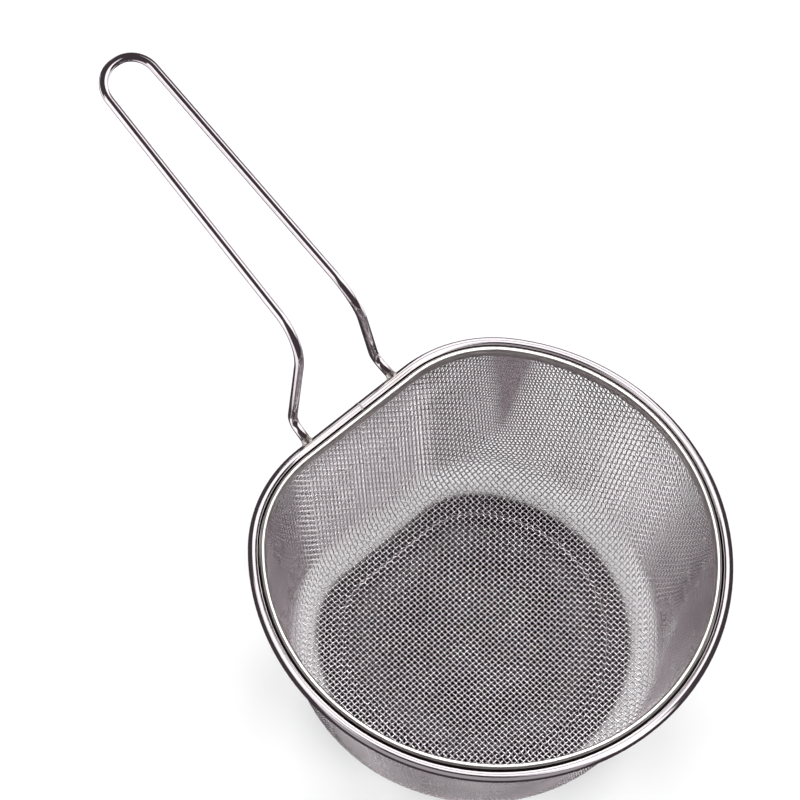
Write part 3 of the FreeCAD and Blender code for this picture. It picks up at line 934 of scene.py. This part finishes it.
# A panel, its group, its turn from the camera's side, its rise, its width and height as the object
# sees them, all in degrees, the light that sets it, and its share of that light.
GROUP_PANELS = (
    ("cloth_far_panel", "cloth", 180, 66, 60, 26, "key_light", 1.0),
    ("cloth_left_panel", "cloth", -78, 42, 26, 46, "side_light", 1.0),
    ("cloth_right_panel", "cloth", 78, 42, 26, 46, "side_light", 1.0),
    ("cloth_top_panel", "cloth", 180, 84, 90, 16, "top_light", 0.3),
    ("band_far_panel", "band", 180, 52, 20, 30, "key_light", 1.3),
    ("band_top_panel", "band", 180, 84, 60, 24, "top_light", 1.0),
    ("hoop_top_panel", "hoop", 180, 78, 56, 34, "wire_light", 1.0),
    ("hoop_right_panel", "hoop", 65, 45, 24, 56, "wire_light", 1.0),
    ("hoop_left_panel", "hoop", -75, 55, 40, 26, "wire_light", 0.7),
    ("hoop_far_panel", "hoop", 180, 28, 46, 50, "wire_light", 1.0),
    ("hoop_front_panel", "hoop", 0, 25, 90, 60, "wire_light", 0.26),
    ("handle_left_panel", "handle", -48, 20, 36, 44, "wire_light", 1.0),
    ("handle_right_panel", "handle", 120, 36, 44, 64, "wire_light", 1.0),
)

# Panels that lie face up on the floor and stand in for its glow in the metal.
LYING_HEIGHT = 0.2 * MM
LYING_RISE = math.radians(-90)
LYING_RISE_TURNED = math.radians(-89.9)    # just enough to keep the panel's turn
CLOTH_LYING_SIZE = 0.6
CLOTH_LYING_START = 57 * MM     # from the axis towards the camera, just outside the base
CLOTH_LYING_RADIANCE = 0.4
HANDLE_LYING_SIZE = 1.1
HANDLE_LYING_X = -0.45
HANDLE_LYING_START = 0.1        # from the plane of symmetry, on both sides
HANDLE_LYING_SHARE = 0.8        # of the wire light

# Low panels all round that light the floor alone, and glance off no metal.
LOW_PANELS = 8
LOW_PANEL_RISE = math.radians(7)
LOW_PANEL_AWAY = 1.7
LOW_PANEL_SIZE = (0.9, 0.2)


def lay_board(scene, finish):
    """A flat board for the floor, level with the bottom of the CAD box."""
    board = bmesh.new()
    bmesh.ops.create_grid(board, x_segments=8, y_segments=8, size=BOARD_SIZE)
    floor = bpy.data.objects.new("floor_board", bpy.data.meshes.new("floor_board"))
    board.to_mesh(floor.data)
    board.free()
    floor.data.materials.append(white_board(finish))
    floor.location.z = CAD_BOX[0].z
    scene.collection.objects.link(floor)
    floor.visible_glossy = False


def dim_room(scene, finish):
    """A dim room that only the metal mirrors."""
    world = bpy.data.worlds.new("dim_room")
    world.use_nodes = True
    world.node_tree.nodes["Background"].inputs["Color"].default_value = (*finish.room, 1.0)
    scene.world = world
    world.cycles_visibility.diffuse = False
    scene.cycles.caustics_reflective = False


def lit_collections(scene):
    """A collection of each group's pieces, for its panels to light."""
    lit = {}
    for group, starts in LIT_GROUPS.items():
        lit[group] = bpy.data.collections.new("lit_" + group)
        for piece in scene.objects:
            if piece.name.startswith(starts):
                lit[group].objects.link(piece)
    return lit


def add_panel(name, turn, rise, away, size, power, diffuse=True, glossy=True, receivers=None,
              centre=Vector((0, 0, 0))):
    """A soft panel that faces the object, out of the camera's sight. Its turn is counted as the
    camera's is, from -Y towards +X."""
    direction = Vector((math.sin(turn) * math.cos(rise), -math.cos(turn) * math.cos(rise),
                        math.sin(rise)))
    light = bpy.data.lights.new(name, "AREA")
    light.shape = "RECTANGLE"
    light.size, light.size_y = size
    light.energy = power
    lamp = bpy.data.objects.new(name, light)
    lamp.location = centre + direction * away
    lamp.rotation_mode = "QUATERNION"
    lamp.rotation_quaternion = direction.to_track_quat("Z", "Y")
    lamp.visible_camera = False
    lamp.visible_diffuse = diffuse
    lamp.visible_glossy = glossy
    lamp.light_linking.receiver_collection = receivers
    bpy.context.scene.collection.objects.link(lamp)


def panel_power(radiance, size):
    """Power of a panel that is to look as bright as this in the metal."""
    return radiance * math.pi * size[0] * size[1]


def light_groups(stage, lit):
    """The panels that each group of pieces mirrors."""
    for name, group, turn, rise, wide, high, light, part in GROUP_PANELS:
        size = [2 * PANEL_AWAY * math.tan(math.radians(spread / 2)) for spread in (wide, high)]
        power = panel_power(part * getattr(stage, light), size)
        add_panel(name, stage.azimuth + math.radians(turn), math.radians(rise), PANEL_AWAY, size,
                  power, diffuse=False, receivers=lit[group])

    size = (CLOTH_LYING_SIZE, CLOTH_LYING_SIZE)
    front = Vector((math.sin(stage.azimuth), -math.cos(stage.azimuth), 0))
    add_panel("cloth_floor_front", stage.azimuth, LYING_RISE_TURNED, -LYING_HEIGHT, size,
              panel_power(CLOTH_LYING_RADIANCE, size), diffuse=False, receivers=lit["cloth"],
              centre=front * (CLOTH_LYING_START + CLOTH_LYING_SIZE / 2))

    size = (HANDLE_LYING_SIZE, HANDLE_LYING_SIZE)
    power = panel_power(HANDLE_LYING_SHARE * stage.wire_light, size)
    across = HANDLE_LYING_START + HANDLE_LYING_SIZE / 2
    for name, y in (("handle_floor_left", -across), ("handle_floor_right", across)):
        add_panel(name, 0, LYING_RISE, -LYING_HEIGHT, size, power, diffuse=False,
                  receivers=lit["handle"], centre=Vector((HANDLE_LYING_X, y, 0)))


def light_floor(stage):
    """The low panels round the floor."""
    for number in range(LOW_PANELS):
        turn = stage.azimuth + FULL_TURN * (number + 0.5) / LOW_PANELS
        add_panel("low_panel_%d" % number, turn, LOW_PANEL_RISE, LOW_PANEL_AWAY, LOW_PANEL_SIZE,
                  stage.floor_light, glossy=False)


def place_camera(scene, stage):
    """The camera, with the lens and the roll of the settings."""
    camera = bpy.data.objects.new("camera", bpy.data.cameras.new("camera"))
    camera.data.lens = stage.lens
    camera.data.sensor_width = FILM_WIDTH
    level = math.cos(stage.elevation)
    back = Vector((math.sin(stage.azimuth) * level, -math.cos(stage.azimuth) * level,
                   math.sin(stage.elevation)))
    turned = back.to_track_quat("Z", "Y").to_matrix() @ Matrix.Rotation(stage.roll, 3, "Z")
    place = Matrix.Translation(CAMERA_AIM + back * stage.distance)
    camera.matrix_world = place @ turned.to_4x4()
    scene.collection.objects.link(camera)
    scene.camera = camera


class STRAINER_OT_set_stage(bpy.types.Operator):
    """Set the floor, the lights and the camera"""

    bl_idname = "strainer.set_stage"
    bl_label = "Set Stage"

    def execute(self, context):
        scene = context.scene
        stage, finish = scene.strainer_stage, scene.strainer_finish
        lay_board(scene, finish)
        dim_room(scene, finish)
        light_groups(stage, lit_collections(scene))
        light_floor(stage)
        place_camera(scene, stage)
        scene.view_settings.view_transform = "Standard"
        return {"FINISHED"}


# ---------------------------------------------------------------- add-on

class STRAINER_PT_pieces(bpy.types.Panel):
    bl_idname = "STRAINER_PT_pieces"
    bl_label = "Strainer"
    bl_space_type = "VIEW_3D"
    bl_region_type = "UI"
    bl_category = "Strainer"

    def draw(self, context):
        for kind in OPERATORS:
            self.layout.operator(kind.bl_idname)
        for group in SETTINGS:
            settings = getattr(context.scene, group)
            box = self.layout.box()
            for name in settings.bl_rna.properties.keys():
                if name not in {"rna_type", "name"}:
                    box.prop(settings, name)


SETTINGS = {
    "strainer_cloth": ClothSettings,
    "strainer_rim": RimSettings,
    "strainer_handle": HandleSettings,
    "strainer_finish": FinishSettings,
    "strainer_stage": StageSettings,
}
OPERATORS = (
    STRAINER_OT_weave_cloth,
    STRAINER_OT_fold_band,
    STRAINER_OT_bend_hoop,
    STRAINER_OT_bend_handle,
    STRAINER_OT_lay_welds,
    STRAINER_OT_set_stage,
)


def register():
    for kind in (*SETTINGS.values(), *OPERATORS, STRAINER_PT_pieces):
        bpy.utils.register_class(kind)
    for group, kind in SETTINGS.items():
        setattr(bpy.types.Scene, group, PointerProperty(type=kind))


def unregister():
    for group in SETTINGS:
        delattr(bpy.types.Scene, group)
    for kind in (STRAINER_PT_pieces, *reversed(OPERATORS), *SETTINGS.values()):
        bpy.utils.unregister_class(kind)


def main():
    register()
    for kind in OPERATORS:
        family, action = kind.bl_idname.split(".")
        getattr(getattr(bpy.ops, family), action)()


if __name__ == "__main__":
    main()
